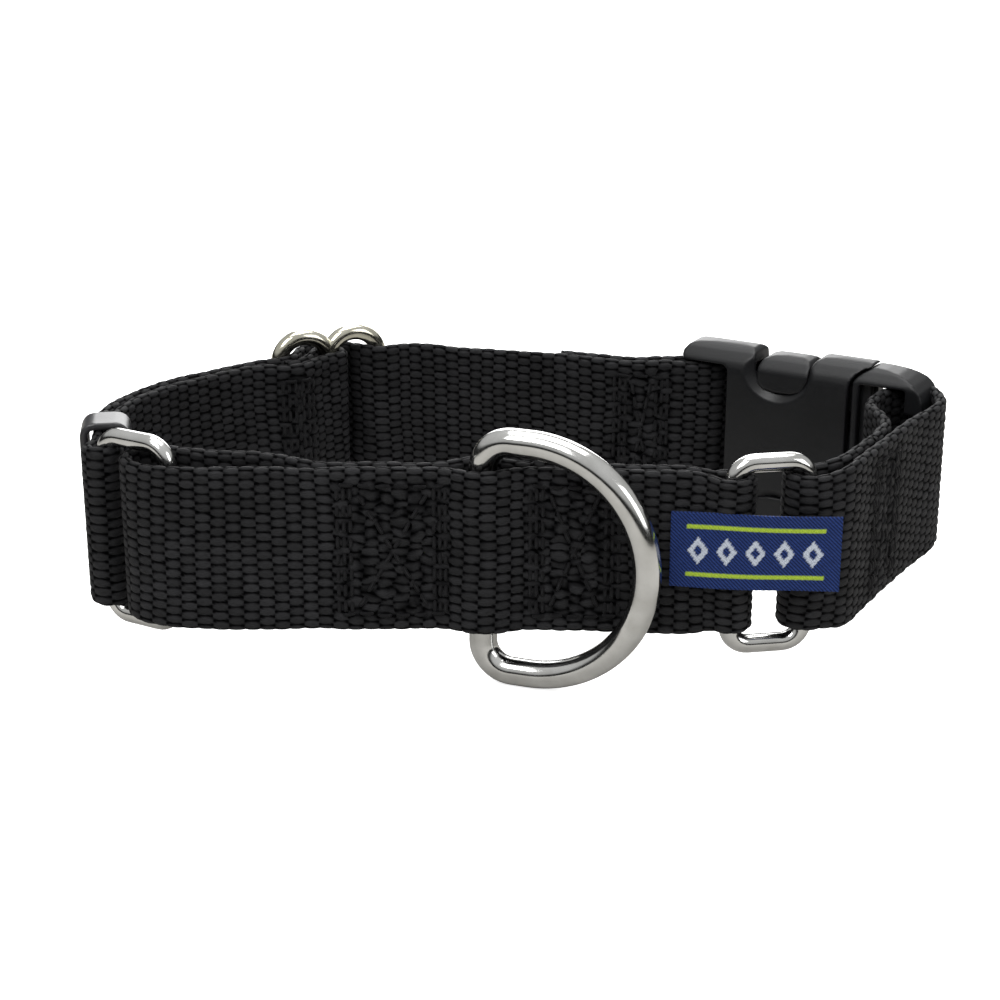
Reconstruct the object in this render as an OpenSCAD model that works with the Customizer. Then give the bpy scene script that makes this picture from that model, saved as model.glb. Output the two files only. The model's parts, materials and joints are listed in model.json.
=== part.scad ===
// Martingale dog collar in 25 mm webbing with a side release buckle.
// Plan view: X to the wearer's right, Y from the leash ring to the back, Z up.
// The origin is the middle of the neck opening, on the surface the collar stands on.

/* [Webbing] */
// Width of the webbing
web_w = 25.4; // [25:0.1:25.6]
// Thickness of one ply of webbing
web_t = 2; // [1.8:0.05:2]
// Gap between two plies that lie together
ply_gap = 0.1; // [0.05:0.05:0.2]
// Clearance between a folded strap and the wire or bar inside it
fold_clear = 0.1; // [0.05:0.05:0.15]

/* [Leash ring] */
// Wire diameter of the D-shaped leash ring
d_wire = 4.2; // [3.8:0.1:4.2]
// Outer height of the leash ring
d_height = 40; // [39:0.5:40]
// Distance from the ring's bar to the centre of its bow
d_bow_offset = 7.2; // [6.6:0.2:8]
// Angle of the ring away from the front strap
d_rest_angle = 20; // [20:1:24]
// How far the ring hangs below the middle of the straps
d_drop = 1.5; // [0.5:0.1:1.5]

/* [Strap rings] */
// Wire diameter of the two strap rings
ring_wire = 2.5; // [2.2:0.1:2.5]
// Distance between the two bars of a strap ring
ring_pitch = 11.4; // [11.4:0.1:11.5]
// Clear height inside a strap ring
ring_clear_h = 26; // [26:0.2:27]

/* [Adjuster slide] */
// Wire diameter of the three-bar slide
slide_wire = 2.8; // [2.4:0.1:2.8]
// Distance from the centre bar to each outer bar
slide_pitch = 10; // [10:0.1:10.4]
// Height of the crown of each wire bow above the middle of the strap
slide_crown = 14.9; // [14.9:0.1:15.4]

/* [Keeper] */
// Clear width inside the strap keeper
keeper_in_w = 5; // [4.9:0.1:5.4]
// Wall of the strap keeper
keeper_wall = 1.5; // [1:0.1:1.6]
// Length of the strap keeper along the strap
keeper_len = 7.4; // [6:0.2:8]

/* [Buckle] */
// Outer height of the buckle
buckle_h = 32.4; // [32:0.2:33]
// Thickness of the buckle
buckle_t = 9; // [8.6:0.2:10]
// Length of the socket half from its mouth to its strap bar
socket_len = 26.5; // [26:0.5:27]
// Length of the plug inside the socket
plug_len = 15.5; // [14:0.5:15.5]
// Diameter of the strap bars
bar_d = 3.2; // [3:0.1:3.4]

/* [Label] */
// Height of the woven label
label_h = 11.4; // [10:0.2:14]
// Thickness of the woven label
label_t = 0.6; // [0.4:0.1:0.6]

/* [Hidden] */
$fn = 48;

mid_z = d_height / 2 + d_drop;             // height of the middle of the straps
fold_r = ring_wire / 2 + fold_clear + web_t / 2;
ply_off = (web_t + ply_gap) / 2;           // each ply of a doubled strap from its midline
thread = 0.5;                              // width of a line of stitching
thread_h = 0.35;                           // height of a line of stitching above the webbing
thread_gap = 0.02;

// Joint centres in plan
strap_bend = [-48, 21.2];                  // where the left strap bends behind the slide
left_bar_out = [-63.2, -20.6];             // left ring, bar in the neck strap
left_bar_in = left_bar_out + ring_pitch * dir(-30);
leash_bar = [-6.2, -30.4];
right_bar_in = [29.8, -32.9];              // right ring, bar in the control loop
right_bar_out = right_bar_in + ring_pitch * dir(9.6);
mouth = [55.3, 14];                        // middle of the buckle's mouth
buckle_turn = -30;                         // direction of the buckle in plan
plug_bar_at = 10.8;                        // strap bar of the plug, from the mouth
plug_bar = mouth + plug_bar_at * dir(buckle_turn);
slide_at = [-33.5, 32.8];                  // middle of the slide
slide_turn = 24;

function dir(a) = [cos(a), sin(a)];
function catmull(a, b, c, d, t) =
    0.5 * (2 * b + (c - a) * t + (2 * a - 5 * b + 4 * c - d) * t * t + (3 * b - a - 3 * c + d) * t * t * t);
// A smooth line through the points p
function curve(p, n = 6) = let (m = len(p) - 1)
    [for (i = [0:m - 1]) for (j = [0:n - 1])
        catmull(p[max(i - 1, 0)], p[i], p[i + 1], p[min(i + 2, m)], j / n), p[m]];
function arc(c, r, a0, a1, n = 10) = [for (i = [0:n]) c + r * dir(a0 + (a1 - a0) * i / n)];
function tangent(p, i) = let (v = p[min(i + 1, len(p) - 1)] - p[max(i - 1, 0)]) v / norm(v);
function beside(p, d) = [for (i = [0:len(p) - 1]) let (u = tangent(p, i)) p[i] + d * [-u.y, u.x]];
function reversed(p) = [for (i = [len(p) - 1:-1:0]) p[i]];
function smooth(x) = let (t = max(0, min(1, x))) t * t * (3 - 2 * t);
// Both plies of a strap doubled round a bar at the end of the midline p: out along the left side,
// round the bar, and back along the right side. The plies part over the last open_n points.
function doubled(p, bar, r, open_n = 9) =
    let (m = len(p) - 1, heading = atan2(tangent(p, m).y, tangent(p, m).x),
         off = [for (i = [0:m]) ply_off + (r - ply_off) * smooth((i - (m - open_n)) / open_n)],
         left = [for (i = [0:m]) let (u = tangent(p, i)) p[i] + off[i] * [-u.y, u.x]],
         right = [for (i = [0:m]) let (u = tangent(p, i)) p[i] - off[i] * [-u.y, u.x]])
    concat(left, arc(bar, r, heading + 78, heading - 78, 12), reversed(right));

// Webbing standing on edge along the plan line p
module strip(p, t = web_t, w = web_w)
    linear_extrude(height = w, center = true)
        polygon(concat(beside(p, t / 2), reversed(beside(p, -t / 2))));

module standing() translate([0, 0, mid_z]) children();
module in_plan(at, turn) translate([at.x, at.y, 0]) rotate([0, 0, turn]) children();

// A box with a cross in it, sewn in thread, in the XZ plane with its front at y = 0
module box_x(l, h) {
    diag = atan2(h, l);
    module seam(len) translate([0, thread_h / 2, 0]) cube([len, thread_h, thread], center = true);
    for (s = [-1, 1]) {
        translate([0, 0, s * (h - thread) / 2]) seam(l);
        translate([s * (l - thread) / 2, 0, 0]) rotate([0, 90, 0]) seam(h);
        rotate([0, s * diag, 0]) seam(norm([l, h]) - 2 * thread);
    }
}

// The same box sewn through both faces of a strap that is t thick
module sewn_box(l, h, t)
    for (s = [0, 180]) rotate([0, 0, s]) translate([0, t / 2 + thread_gap, 0]) box_x(l, h);

// ---- Neck strap ----

socket_bar = mouth - socket_len * dir(buckle_turn);
bar_fold_r = bar_d / 2 + fold_clear + web_t / 2;
bend_gap = 0.6;                            // half the gap between the plies at the living hinge
bend_turn = 40;                            // direction of the strap at the living hinge
function at_slide(p) = [for (q = p) slide_at + q.x * dir(slide_turn) + q.y * dir(slide_turn + 90)];
function at_bend(along, across) = strap_bend + along * dir(bend_turn) + across * dir(bend_turn + 90);

// The running ply threads the slide, runs along the back and folds back round the socket's bar
module back_strap() color("#1c1c1e") standing() {
    weave = at_slide([[-14, -2.6], [-10, -2.6], [-7.7, -1.8], [-5.4, 1.2], [-3.2, 4], [0, 5.1],
                      [3.2, 4], [5.4, 1.2], [7.7, -1.8], [10, -2.6], [14, -2.6]]);
    run = concat([at_bend(bend_gap, ply_off), at_bend(1.5, ply_off)], weave,
                 [[-12, 34.5], [-4, 32.6], [4, 30.2], [10, 27.9], [15.2, 26.2], [25.5, 24.9], [30, 24.6]]);
    fold_back = [[28.5, 28.4], [25.5, 27.4], [15.2, 28.5], [7, 31.3]];
    strip(concat(curve(run), arc(socket_bar, bar_fold_r, -110, 110, 14), curve(fold_back)));
}

// The end of the return ply, folded round the slide's middle bar
module return_end() color("#1c1c1e") standing() {
    r = slide_wire / 2 + fold_clear + web_t / 2;
    inner = concat([at_bend(bend_gap, -ply_off - 0.15), at_bend(2, -ply_off - 0.25)],
                   at_slide([[-12.4, -6.1], [-9.8, -7.1], [-6.6, -6.8], [-3.2, -4.2]]));
    outer = at_slide([[-3.3, -0.6], [-5.4, -3.2], [-7.4, -4.65], [-9.6, -4.85]]);
    strip(concat(curve(inner), at_slide(arc([0, 0], r, -80, 130, 14)), curve(outer)));
}

// Three vertical bars joined by two low bows above and two below
module adjuster_slide() color("#c9c6b4") standing() in_plan(slide_at, slide_turn) {
    sag = 0.9;
    weld = 0.12;                           // how much thicker the joints are than the wire
    bow_r = (pow(slide_pitch / 2, 2) + sag * sag) / (2 * sag);
    half = asin(slide_pitch / 2 / bow_r);
    corner_z = slide_crown - sag;
    for (x = [-1:1]) translate([x * slide_pitch, 0, 0])
        cylinder(d = slide_wire, h = 2 * corner_z, center = true);
    for (x = [-1:1], s = [-1, 1]) translate([x * slide_pitch, 0, s * corner_z]) sphere(d = slide_wire + weld);
    for (x = [-0.5, 0.5], s = [0, 180])
        rotate([0, s, 0]) translate([x * slide_pitch, 0, slide_crown - bow_r])
            rotate([90, 0, 0]) rotate([0, 0, 90 - half])
                rotate_extrude(angle = 2 * half) translate([bow_r, 0]) circle(d = slide_wire);
}

// ---- Left side ----

left_run = [[-63.5, -17], [-64.3, -11], [-65.1, -5], [-64, 1.4], [-61.4, 6.8], [-58, 11.8], [-54, 16]];

// Both plies of the neck strap from the living hinge to the left ring
module left_strap() color("#1c1c1e") standing() {
    mid = curve(concat([at_bend(-bend_gap, 0)], reversed(left_run), [left_bar_out]));
    strip(doubled(mid, left_bar_out, fold_r));
}

// A rectangular loop of wire standing on edge; its bars are at x = 0 and x = ring_pitch
module wire_ring() {
    corner = 1.9;                          // small, so that the bars are straight beside the webbing
    top = ring_clear_h / 2 + ring_wire / 2;
    for (x = [0, ring_pitch]) translate([x, 0, 0])
        cylinder(d = ring_wire, h = 2 * (top - corner), center = true);
    for (s = [-1, 1]) translate([corner, 0, s * top]) rotate([0, 90, 0])
        cylinder(d = ring_wire, h = ring_pitch - 2 * corner);
    for (x = [0, 1], s = [0, 1]) translate([ring_pitch / 2, 0, 0]) mirror([x, 0, 0]) mirror([0, 0, s])
        translate([ring_pitch / 2 - corner, 0, top - corner]) rotate([90, 0, 0])
            rotate_extrude(angle = 90) translate([corner, 0]) circle(d = ring_wire);
}

module left_ring() color("#d6d6d4") standing() in_plan(left_bar_out, -30) wire_ring();
module right_ring() color("#d6d6d4") standing() in_plan(right_bar_in, 9.6) wire_ring();

module round_rect(w, h, r) {
    square([w - 2 * r, h], center = true);
    square([w, h - 2 * r], center = true);
    for (x = [-1, 1], y = [-1, 1]) translate([x * (w / 2 - r), y * (h / 2 - r)]) circle(r);
}

// A bar of rounded section from x0 to x1, t thick in y and h high in z
module slab(x0, x1, t, h, r) translate([x0, 0, 0]) rotate([90, 0, 90])
    linear_extrude(height = x1 - x0) round_rect(t, h, r);

keeper_at = [-64.15, -12.1];
keeper_turn = 97.6;
module strap_keeper() color("#26262a") standing() in_plan(keeper_at, keeper_turn) difference() {
    outer_h = web_w + 2 * keeper_wall + 1;
    slab(-keeper_len / 2, keeper_len / 2, keeper_in_w + 2 * keeper_wall, outer_h, 1.5);
    slab(-keeper_len, keeper_len, keeper_in_w, outer_h - 2 * keeper_wall, 0.4);
}

// ---- Control loop ----

leash_bore = d_wire / 2 + 0.05;
barrel_r = leash_bore + web_t;

module control_loop_left() color("#1c1c1e") standing() difference() {
    front = [leash_bar - [0, 1.1], [-9.9, -31.55], [-18, -31.85], [-29.2, -31.9], [-40, -31.95],
             [-48, -31.9], [-53.4, -31], [-57.6, -28.6], [-59, -25.2], [-57.8, -22.3], [-54.8, -21.4]];
    back = [[-51.5, -22.4], [-47, -23.6], [-40.5, -24.6], [-35.8, -26.4], [-32.2, -28.7], [-29, -29.6],
            [-24, -29.7], [-9.9, -29.4], leash_bar + [0, 1]];
    strip(curve(concat(front, back)));
    translate([leash_bar.x, leash_bar.y, 0]) cylinder(r = barrel_r + 0.2, h = 2 * web_w, center = true);
}

module control_loop_right() color("#1c1c1e") standing() difference() {
    mid = curve([leash_bar + [2.6, 0], [4, -31.1], [13.9, -31.9], [22, -32.5], right_bar_in]);
    union() {
        strip(doubled(mid, right_bar_in, fold_r));
        translate([leash_bar.x, leash_bar.y, 0]) cylinder(r = barrel_r, h = web_w, center = true);
    }
    translate([leash_bar.x, leash_bar.y, 0]) cylinder(r = leash_bore, h = 2 * web_w, center = true);
}

// The leash ring: a straight bar, two rounded corners and a half-round bow
module leash_ring() color("#d6d6d4") standing()
    translate([0, 0, -d_drop]) in_plan(leash_bar, -d_rest_angle) {
    corner = 2.6;                          // small, so that the bar is straight inside the webbing
    top = d_height / 2 - d_wire / 2;
    cylinder(d = d_wire, h = 2 * (top - corner), center = true);
    for (s = [0, 1]) mirror([0, 0, s]) {
        translate([corner, 0, top - corner]) rotate([90, 0, 0]) rotate([0, 0, 90])
            rotate_extrude(angle = 90) translate([corner, 0]) circle(d = d_wire);
        translate([corner, 0, top]) rotate([0, 90, 0]) cylinder(d = d_wire, h = d_bow_offset - corner);
    }
    translate([d_bow_offset, 0, 0]) rotate([90, 0, 0]) rotate([0, 0, -90])
        rotate_extrude(angle = 180) translate([top, 0]) circle(d = d_wire);
}

// ---- Label ----

label_from = [21, -35.35];                 // left end of the label, sewn to the control loop
label_turn = -8.5;
label_free_from = [32.6, -37.05];          // the free half starts past the right ring's bar
label_free_turn = -2;
module label_part(from, turn, len) standing() in_plan(from, turn)
    translate([0, -label_t / 2, -label_h / 2]) cube([len, label_t, label_h]);
module woven_label() color("#263973") label_part(label_from, label_turn, 9.8);
module label_free_end() color("#263973") label_part(label_free_from, label_free_turn, 13.2);
module stitch_label() color("#3a4a86") standing() in_plan(label_from, label_turn) for (x = [0.8, 9])
    translate([x, -label_t / 2 - thread_gap - thread_h / 2, 0])
        cube([thread, thread_h, label_h - 1.5], center = true);

// ---- Right side ----

module right_strap() color("#1c1c1e") standing() {
    start = [[52.2, -17.5], [48.4, -24], [46.4, -27.2], [43.2, -28.6]];
    outer = [[44, -33], [46.9, -31], [50.3, -25.1], [55.5, -16.1], [60.9, -7.1], [65.5, -0.4], [67.4, 4.4]];
    inner = [[60.1, 7.2], [56.6, 4.4], [55.3, 0.4], [55.9, -4.6], [56, -9.2], [53.6, -15],
             [52.3, -17.25]];
    strip(concat(curve(start), arc(right_bar_out, fold_r, 92, 285, 16),
                 curve(outer), arc(plug_bar, bar_fold_r, -5, 140, 14), curve(inner)));
}

// ---- Buckle, in its own plan axes: x from the mouth along the plug, y outwards, z up ----

module at_buckle() standing() in_plan(mouth, buckle_turn) children();
cavity_t = 5.4;                            // inside of the socket, front to back
cavity_h = 27.2;                           // inside of the socket, top to bottom
shell_len = 21.5;                          // length of the socket's shell
end_wall = 2;                              // wall that closes the shell behind the plug
lug_gap = 0.3;                             // gap between an edge of the webbing and the lug beside it
lug_z = web_w / 2 + lug_gap;               // height of the inner face of each lug

// A shell open at the mouth, with a U-shaped window at the top and bottom for each thumb pad,
// and two lugs that carry the strap bar
module buckle_socket() color("#222326") at_buckle() {
    window_at = -12;
    window_r = 5;
    window_z = 14.2;
    lug = [10, 6, buckle_h / 2 - lug_z];
    difference() {
        slab(-shell_len, 0, buckle_t, buckle_h, 3);
        slab(end_wall - shell_len, 1, cavity_t, cavity_h, 0.8);
        for (s = [-1, 1]) translate([window_at, 0, s * window_z]) {
            rotate([90, 0, 0]) cylinder(r = window_r, h = 2 * buckle_t, center = true);
            translate([0, 0, s * buckle_h / 4])
                cube([2 * window_r, 2 * buckle_t, buckle_h / 2], center = true);
        }
    }
    for (s = [-1, 1]) translate([0.5 - socket_len, 0, s * (lug_z + lug.z / 2)]) cube(lug, center = true);
    translate([-socket_len, 0, 0]) cylinder(d = bar_d, h = web_w + 4, center = true);
}

// The frame outside the mouth with its strap bar, and the centre tongue inside the socket
module buckle_plug() color("#26272a") at_buckle() {
    mouth_gap = 0.3;
    rail_h = buckle_h / 2 - lug_z;
    rail_z = lug_z + rail_h / 2;
    rail_end = 12.7;
    base_end = 3.9;
    tongue_h = 8;
    slab(mouth_gap, base_end, 7, 2 * rail_z, 1);
    for (s = [-1, 1]) translate([0, 0, s * rail_z]) slab(mouth_gap, rail_end, 8, rail_h, 1.5);
    translate([plug_bar_at, 0, 0]) cylinder(d = bar_d, h = 2 * rail_z, center = true);
    slab(0.5 - plug_len, mouth_gap + 0.1, cavity_t - 0.8, tongue_h, 1);
}

// A springy arm with a thumb pad that stands in the socket's side window
module latch_arm() {
    arm_t = cavity_t - 0.6;
    translate([0, 0, 9.8]) slab(-plug_len, 0.2, arm_t, 5.2, 0.6);
    translate([0, 0, 12]) slab(-plug_len, -7.4, arm_t, 6.8, 0.6);
}
module latch_arm_upper() color("#2c2d30") at_buckle() latch_arm();
module latch_arm_lower() color("#2c2d30") at_buckle() mirror([0, 0, 1]) latch_arm();

// ---- Stitching ----

module stitch_slide_end() color("#242426") standing()
    in_plan(at_slide([[-8.2, -8.3]])[0], slide_turn + 180) box_x(5, 20);
module stitch_buckle_end() color("#242426") standing() in_plan([20.4, 26.75], -6.5) sewn_box(9, 20, 4.7);
module stitch_control_left() color("#242426") standing() in_plan([-19.5, -30.68], 0.6) sewn_box(16, 20, 4.8);
module stitch_control_right() color("#242426") standing() in_plan([7, -31.35], -4.6) sewn_box(13, 20, 4.3);
module stitch_right_strap() color("#242426") standing() in_plan([53, -18], 60) sewn_box(11, 20, 4.6);

back_strap();
return_end();
adjuster_slide();
buckle_socket();
stitch_slide_end();
stitch_buckle_end();
left_strap();
strap_keeper();
left_ring();
control_loop_left();
stitch_control_left();
control_loop_right();
stitch_control_right();
leash_ring();
woven_label();
label_free_end();
stitch_label();
right_ring();
right_strap();
stitch_right_strap();
buckle_plug();
latch_arm_upper();
latch_arm_lower();
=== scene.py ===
"""Looks of a martingale dog collar: woven webbing, stitching, plated wire and a moulded buckle.

Lengths are in millimetres until a mesh is made. The axes are those of the frame, seen from in
front of the leash ring: X to the right, Y to the back, Z up.
"""

import json
import math

import bmesh
import bpy
import numpy as np
from mathutils import Matrix, Vector


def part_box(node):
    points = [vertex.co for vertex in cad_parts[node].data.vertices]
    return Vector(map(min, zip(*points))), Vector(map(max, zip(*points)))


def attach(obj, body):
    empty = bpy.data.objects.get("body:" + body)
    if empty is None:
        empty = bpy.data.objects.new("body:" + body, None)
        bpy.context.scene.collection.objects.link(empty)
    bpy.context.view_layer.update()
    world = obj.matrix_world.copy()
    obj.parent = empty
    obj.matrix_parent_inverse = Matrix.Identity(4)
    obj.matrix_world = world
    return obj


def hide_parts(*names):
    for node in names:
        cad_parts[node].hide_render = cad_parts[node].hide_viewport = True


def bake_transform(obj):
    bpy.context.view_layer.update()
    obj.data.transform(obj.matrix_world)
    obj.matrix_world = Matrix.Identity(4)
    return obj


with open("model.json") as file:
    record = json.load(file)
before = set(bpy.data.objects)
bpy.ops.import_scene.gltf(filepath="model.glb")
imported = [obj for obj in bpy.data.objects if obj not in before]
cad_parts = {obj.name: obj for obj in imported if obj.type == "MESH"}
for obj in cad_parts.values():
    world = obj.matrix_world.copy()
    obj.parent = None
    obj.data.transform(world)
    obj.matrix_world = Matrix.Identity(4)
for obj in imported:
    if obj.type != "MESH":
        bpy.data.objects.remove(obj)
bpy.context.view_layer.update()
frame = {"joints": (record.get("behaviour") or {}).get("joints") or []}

MM = 0.001
WEB_T = 2.0                    # thickness of one ply of webbing
WEB_HALF = 12.7                # half the width of the webbing
ROW = 1.46                     # pitch of the warp floats across the webbing
PICK = 2.2                     # pitch of the picks along the webbing
RELIEF = 0.36                  # depth of the grooves between the floats
ROW_STEPS = 6                  # mesh steps to a row
FACE_ROWS = 16                 # rows on the flat of each face
EDGE_ROWS = 2                  # rows that wrap round each edge
STEP = PICK / 5                # mesh step along the webbing
PLY_OFF = 1.05                 # a ply of a doubled strap from the strap's midline
RING_WIRE = 2.8
RING_DROP = 0.7                # how far the right ring hangs below the strap's middle
SLIDE_RISE = 0.3               # how far the slide stands above the strap's middle
LEASH_WIRE = 4.2
SLIDE_WIRE = 2.8
FOLD_R = 2.35                  # midline radius of webbing folded round a ring's bar
BAR_FOLD_R = 2.7               # midline radius of webbing folded round a buckle's bar
FOLD_TURN = 78                 # how far a fold's arc turns to each side of the strap's end
THREAD = 0.62                  # thickness of the sewing thread


def joint_at(name):
    """A hinge's centre in millimetres."""
    joint = next(j for j in frame["joints"] if j["name"] == name)
    return np.array(joint["pos_m"]) / MM


MID_Z = joint_at("leash_ring_swing")[2]
STRAP_BEND = joint_at("left_strap_swing")[:2]
LEFT_BAR_OUT = joint_at("left_ring_pivot")[:2]
LEASH_BAR = joint_at("leash_ring_swing")[:2]
RIGHT_BAR_IN = joint_at("martingale_draw")[:2]
RIGHT_BAR_OUT = joint_at("right_ring_pivot")[:2]
PLUG_BAR = joint_at("right_strap_swing")[:2]


# ---- Lines in plan ----

def heading(a):
    return np.array([math.cos(math.radians(a)), math.sin(math.radians(a))])


BUCKLE_TURN = -30
MOUTH = joint_at("latch_squeeze")[:2] + 0.5 * heading(BUCKLE_TURN)
SOCKET_BAR = MOUTH - 26.5 * heading(BUCKLE_TURN)
SLIDE_AT = np.array([-33.5, 32.8])
SLIDE_TURN = 24
BEND_TURN = 40
BEND_GAP = 0.6
KEEPER_AT = np.array([-64.15, -12.1])
KEEPER_TURN = 97.6
LEASH_TURN = -20
LEFT_RING_TURN = -30
RIGHT_RING_TURN = 9.6


def local(at, turn, points):
    """Points given along and across a turned axis, in plan."""
    p = np.array(points, float).reshape(-1, 2)
    return at + p[:, :1] * heading(turn) + p[:, 1:] * heading(turn + 90)


def curve(*parts, n=12):
    """A smooth line through the points."""
    p = np.vstack([np.array(part, float).reshape(-1, 2) for part in parts])
    out = []
    for i in range(len(p) - 1):
        a, b, c, d = p[max(i - 1, 0)], p[i], p[i + 1], p[min(i + 2, len(p) - 1)]
        for t in np.arange(n) / n:
            out.append(0.5 * (2 * b + (c - a) * t + (2 * a - 5 * b + 4 * c - d) * t * t
                              + (3 * b - a - 3 * c + d) * t ** 3))
    return np.array(out + [p[-1]])


def arc(centre, r, a0, a1, n=16):
    return np.array([centre + r * heading(a) for a in np.linspace(a0, a1, n)])


def tangents(p):
    v = np.gradient(p, axis=0)
    return v / np.linalg.norm(v, axis=1)[:, None]


def left_of(p):
    t = tangents(p)
    return np.stack([-t[:, 1], t[:, 0]], 1)


def ease(x):
    t = np.clip(x, 0, 1)
    return t * t * (3 - 2 * t)


def doubled(mid, bar, r, opening=3.6):
    """Both plies of a strap doubled round a bar at the end of its midline."""
    s = lengths(mid)
    off = PLY_OFF + (r - PLY_OFF) * ease((s - (s[-1] - opening)) / opening)
    side = left_of(mid) * off[:, None]
    end = tangents(mid)[-1]
    a = math.degrees(math.atan2(end[1], end[0]))
    return np.vstack([mid + side, arc(bar, r, a + FOLD_TURN, a - FOLD_TURN), (mid - side)[::-1]])


def lengths(p):
    return np.concatenate([[0], np.cumsum(np.linalg.norm(np.diff(p, axis=0), axis=1))])


def even(p, step=STEP, passes=3):
    """The line with points at even steps, its small kinks smoothed out."""
    for _ in range(2):
        s = lengths(p)
        n = int(round(s[-1] / step))
        at = np.linspace(0, s[-1], n + 1)
        p = np.stack([np.interp(at, s, p[:, k]) for k in range(2)], 1)
        for _ in range(passes):
            p[1:-1] = (p[:-2] + 2 * p[1:-1] + p[2:]) / 4
    return p


def nearest(line, point):
    return int(np.argmin(np.linalg.norm(line - np.array(point), axis=1)))


# ---- Noise ----

def lattice(i, j, seed):
    x = np.sin(i * 127.1 + j * 311.7 + seed * 74.7) * 43758.5453
    return x - np.floor(x)


def noise(u, v, seed=0):
    """Smooth noise from -1 to 1."""
    i, j = np.floor(u), np.floor(v)
    a, b = ease(u - i), ease(v - j)
    low = lattice(i, j, seed) * (1 - a) + lattice(i + 1, j, seed) * a
    high = lattice(i, j + 1, seed) * (1 - a) + lattice(i + 1, j + 1, seed) * a
    return 2 * (low * (1 - b) + high * b) - 1


# ---- Objects ----

def make(name, verts, faces, material, attributes=None, uv=None):
    """A mesh object from points in millimetres. uv holds one pair a vertex or a face corner."""
    mesh = bpy.data.meshes.new(name)
    mesh.from_pydata((np.asarray(verts, float) * MM).tolist(), [], [tuple(f) for f in faces])
    mesh.update()
    for key, values in (attributes or {}).items():
        layer = mesh.attributes.new(key, "FLOAT", "POINT")
        layer.data.foreach_set("value", np.asarray(values, np.float32))
    if uv is not None:
        index = np.zeros(len(mesh.loops), np.int32)
        mesh.loops.foreach_get("vertex_index", index)
        layer = mesh.uv_layers.new(name="weave")
        uv = np.asarray(uv, np.float32)
        layer.data.foreach_set("uv", (uv if len(uv) == len(index) else uv[index]).ravel())
    mesh.polygons.foreach_set("use_smooth", [True] * len(mesh.polygons))
    if material:
        mesh.materials.append(material)
    obj = bpy.data.objects.new(name, mesh)
    bpy.context.scene.collection.objects.link(obj)
    return obj


def finish_piece(obj, slot, body, *nodes):
    """The piece rides on its body and stands for its CAD nodes, which it hides; slot is not used. A piece
    given no body here is left unattached."""
    if body:
        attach(obj, body)
    if nodes:
        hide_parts(*nodes)
    return obj


# ---- Materials ----

class Shader:
    """A material with a Principled node, and short ways to add nodes to it."""

    def __init__(self, name):
        self.material = bpy.data.materials.new(name)
        self.material.use_nodes = True
        self.tree = self.material.node_tree
        self.main = self.tree.nodes["Principled BSDF"]

    def add(self, kind, **values):
        node = self.tree.nodes.new(kind)
        for key, value in values.items():
            if key in node.inputs:
                node.inputs[key].default_value = value
            else:
                setattr(node, key, value)
        return node

    def link(self, a, b):
        self.tree.links.new(a, b)

    def set(self, **values):
        for key, value in values.items():
            self.main.inputs[key.replace("_", " ")].default_value = value

    def coords(self, kind="Object"):
        return self.add("ShaderNodeTexCoord").outputs[kind]

    def scaled(self, socket, scale):
        node = self.add("ShaderNodeMapping")
        node.inputs["Scale"].default_value = scale
        self.link(socket, node.inputs["Vector"])
        return node.outputs["Vector"]

    def noise(self, scale, detail=3, vector=None, roughness=0.5):
        node = self.add("ShaderNodeTexNoise", Scale=scale, Detail=detail, Roughness=roughness)
        self.link(vector or self.coords(), node.inputs["Vector"])
        return node.outputs["Fac"]

    def ramp(self, fac, *stops):
        """stops are (position, colour or grey)."""
        node = self.add("ShaderNodeValToRGB")
        points = node.color_ramp.elements
        while len(points) < len(stops):
            points.new(0.5)
        for point, (at, colour) in zip(points, stops):
            point.position = at
            point.color = (*colour, 1) if isinstance(colour, tuple) else (colour, colour, colour, 1)
        self.link(fac, node.inputs["Fac"])
        return node.outputs["Color"]

    def mix(self, fac, a, b, blend="MIX"):
        node = self.add("ShaderNodeMix", data_type="RGBA", blend_type=blend)
        for socket, value in ((node.inputs[0], fac), (node.inputs[6], a), (node.inputs[7], b)):
            if hasattr(value, "links"):
                self.link(value, socket)
            else:
                socket.default_value = value if isinstance(value, float) else (*value, 1)
        return node.outputs[2]

    def math(self, operation, a, b=None):
        node = self.add("ShaderNodeMath", operation=operation)
        for socket, value in zip(node.inputs, (a, b)):
            if hasattr(value, "links"):
                self.link(value, socket)
            elif value is not None:
                socket.default_value = value
        return node.outputs[0]

    def step(self, value, low, high):
        """0 below low, 1 above high, smooth between."""
        node = self.add("ShaderNodeMapRange", interpolation_type="SMOOTHSTEP")
        self.link(value, node.inputs[0])
        node.inputs[1].default_value = low
        node.inputs[2].default_value = high
        return node.outputs[0]

    def bump(self, height, strength, distance, normal=None):
        node = self.add("ShaderNodeBump", Strength=strength, Distance=distance)
        self.link(height, node.inputs["Height"])
        if normal:
            self.link(normal, node.inputs["Normal"])
        return node.outputs["Normal"]


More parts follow.
